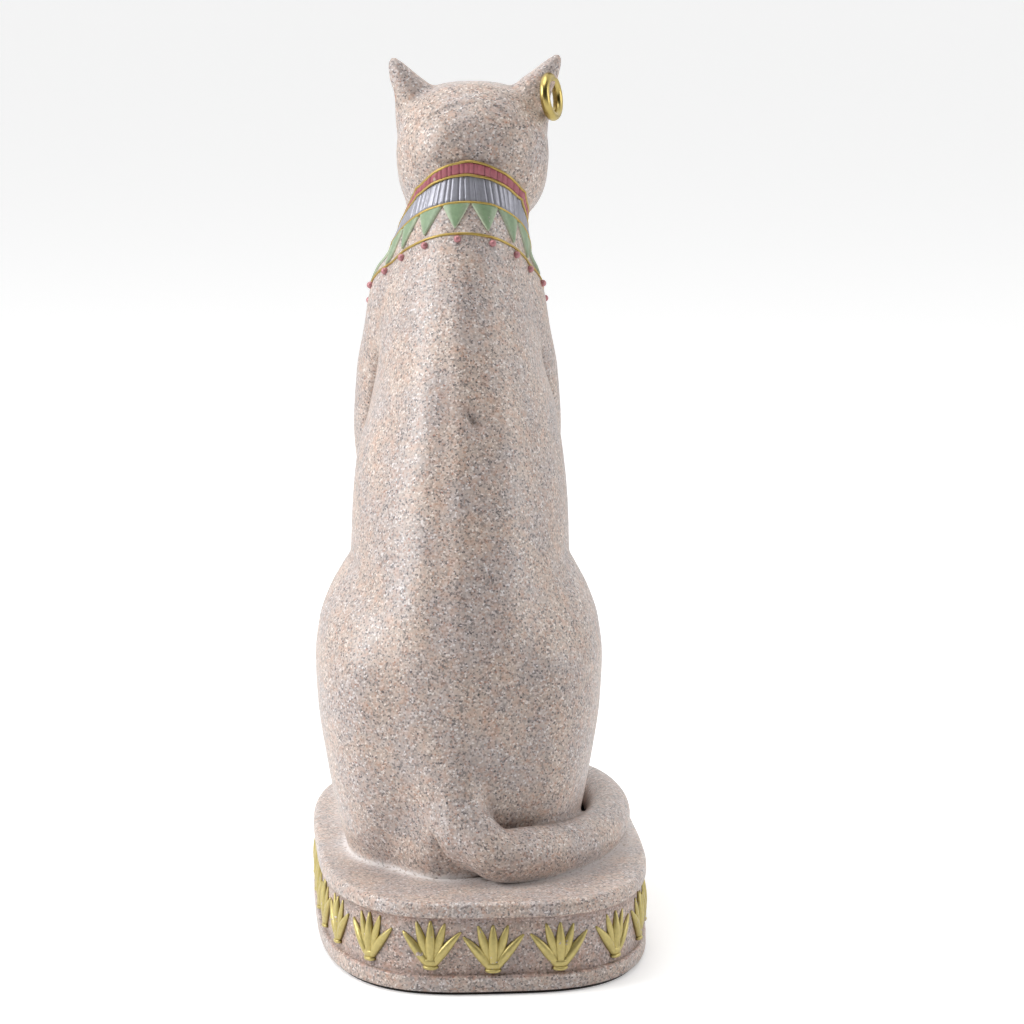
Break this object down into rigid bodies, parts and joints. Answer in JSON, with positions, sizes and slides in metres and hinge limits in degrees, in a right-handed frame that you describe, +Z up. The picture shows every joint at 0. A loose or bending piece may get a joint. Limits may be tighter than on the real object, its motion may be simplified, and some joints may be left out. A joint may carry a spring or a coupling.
{
  "type": "egyptian cat statue",
  "caption": "Seated Egyptian cat on an oval plinth, cast in speckled stone resin, with a painted collar, a frieze of gold lotus flowers and a gold hoop in its right ear.",
  "frame": {"origin": "centre of the underside of the plinth's felt pad", "axes": "+Z up; the cat looks along -Y, turned about four degrees on its plinth; +X is the cat's left, so the tail and the earring are on -X"},
  "size_m": [0.1048, 0.1786, 0.276],
  "materials": {
    "stone_resin": "satin cast stone resin, pinkish beige with fine white, grey, black and rust granules, hand painted in gold, rose, silver grey and sage green",
    "gold_hoop": "polished gold-coloured metal",
    "felt": "dark felt"
  },
  "bodies": {
    "root": {"statue": "stone_resin", "earring": "gold_hoop", "felt_pad": "felt"}
  },
  "joints": []
}
